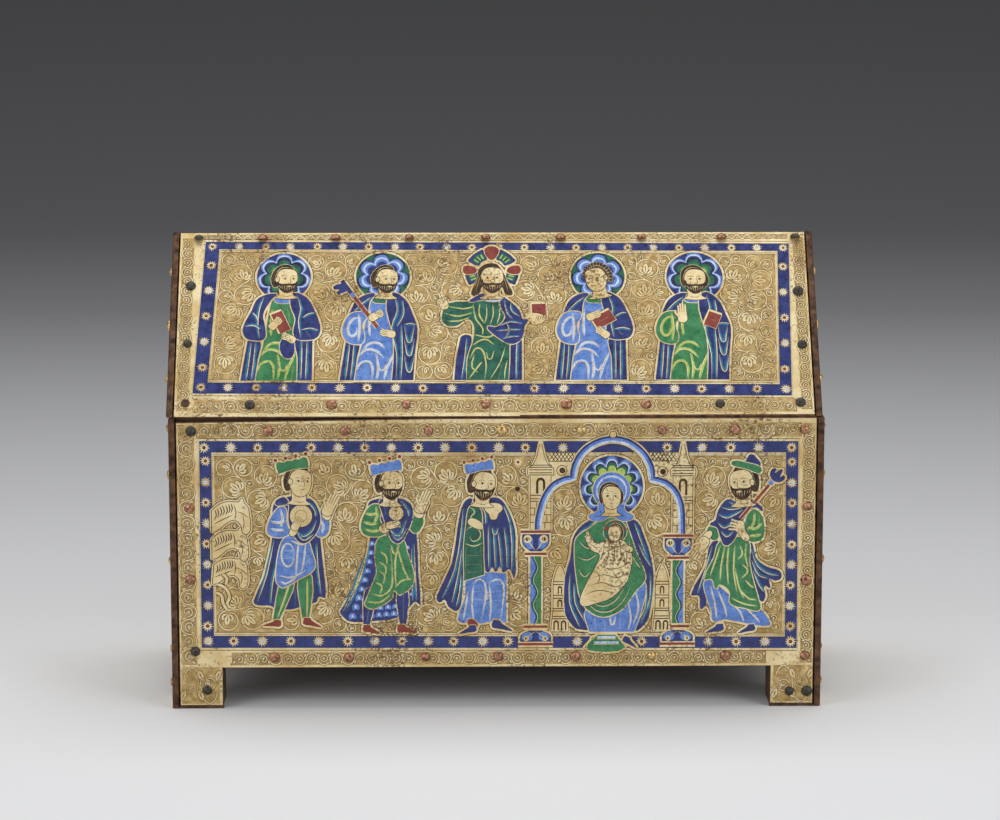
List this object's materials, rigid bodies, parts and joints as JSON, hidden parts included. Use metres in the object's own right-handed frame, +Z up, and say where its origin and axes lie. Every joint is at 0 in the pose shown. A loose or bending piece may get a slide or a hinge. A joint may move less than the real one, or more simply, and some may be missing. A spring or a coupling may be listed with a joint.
{
  "type": "reliquary casket",
  "caption": "House-shaped reliquary casket of enamelled and gilt copper plates nailed over a hollow wooden box, with a pitched lid that lifts off.",
  "frame": {"origin": "on the ground, under the middle of the casket", "axes": "+Z up, +X to the right as seen from the front, the enamelled front faces -Y"},
  "size_m": [0.2638, 0.107, 0.186],
  "materials": {
    "enamelled_copper": "gilt copper, engraved and filled with blue, green, red and white enamel, polished flush",
    "gilt_copper": "engraved gilt copper, worn brown at the edges",
    "copper_nail": "hand-made domed nail heads, bare copper gone brown",
    "oak": "old dry oak, dark brown"
  },
  "bodies": {
    "root": {"box_core": "oak", "lid_core": "oak", "front_plate": "enamelled_copper", "roof_front_plate": "enamelled_copper", "back_plate": "gilt_copper", "roof_back_plate": "gilt_copper", "left_end_plate": "gilt_copper", "right_end_plate": "gilt_copper", "left_gable_plate": "gilt_copper", "right_gable_plate": "gilt_copper", "front_nail_top_1": "copper_nail", "front_nail_top_2": "copper_nail", "front_nail_top_3": "copper_nail", "front_nail_top_4": "copper_nail", "front_nail_top_5": "copper_nail", "front_nail_top_6": "copper_nail", "front_nail_top_7": "copper_nail", "front_nail_top_8": "copper_nail", "front_nail_top_9": "copper_nail", "front_nail_left_1": "copper_nail", "front_nail_left_2": "copper_nail", "front_nail_left_3": "copper_nail", "front_nail_right_1": "copper_nail", "front_nail_right_2": "copper_nail", "front_nail_right_3": "copper_nail", "front_nail_bottom_1": "copper_nail", "front_nail_bottom_2": "copper_nail", "front_nail_bottom_3": "copper_nail", "front_nail_bottom_4": "copper_nail", "front_nail_bottom_5": "copper_nail", "front_nail_bottom_6": "copper_nail", "front_nail_bottom_7": "copper_nail", "front_nail_foot_1": "copper_nail", "front_nail_foot_2": "copper_nail", "front_nail_foot_3": "copper_nail", "roof_nail_top_1": "copper_nail", "roof_nail_top_2": "copper_nail", "roof_nail_top_3": "copper_nail", "roof_nail_top_4": "copper_nail", "roof_nail_top_5": "copper_nail", "roof_nail_top_6": "copper_nail", "roof_nail_top_7": "copper_nail", "roof_nail_top_8": "copper_nail", "roof_nail_top_9": "copper_nail", "roof_nail_left_1": "copper_nail", "roof_nail_left_2": "copper_nail", "roof_nail_right_1": "copper_nail", "roof_nail_right_2": "copper_nail", "roof_nail_right_3": "copper_nail", "roof_nail_bottom_1": "copper_nail", "roof_nail_bottom_2": "copper_nail", "roof_nail_bottom_3": "copper_nail", "roof_nail_bottom_4": "copper_nail", "roof_nail_bottom_5": "copper_nail", "roof_nail_bottom_6": "copper_nail", "roof_nail_bottom_7": "copper_nail"}
  },
  "joints": []
}
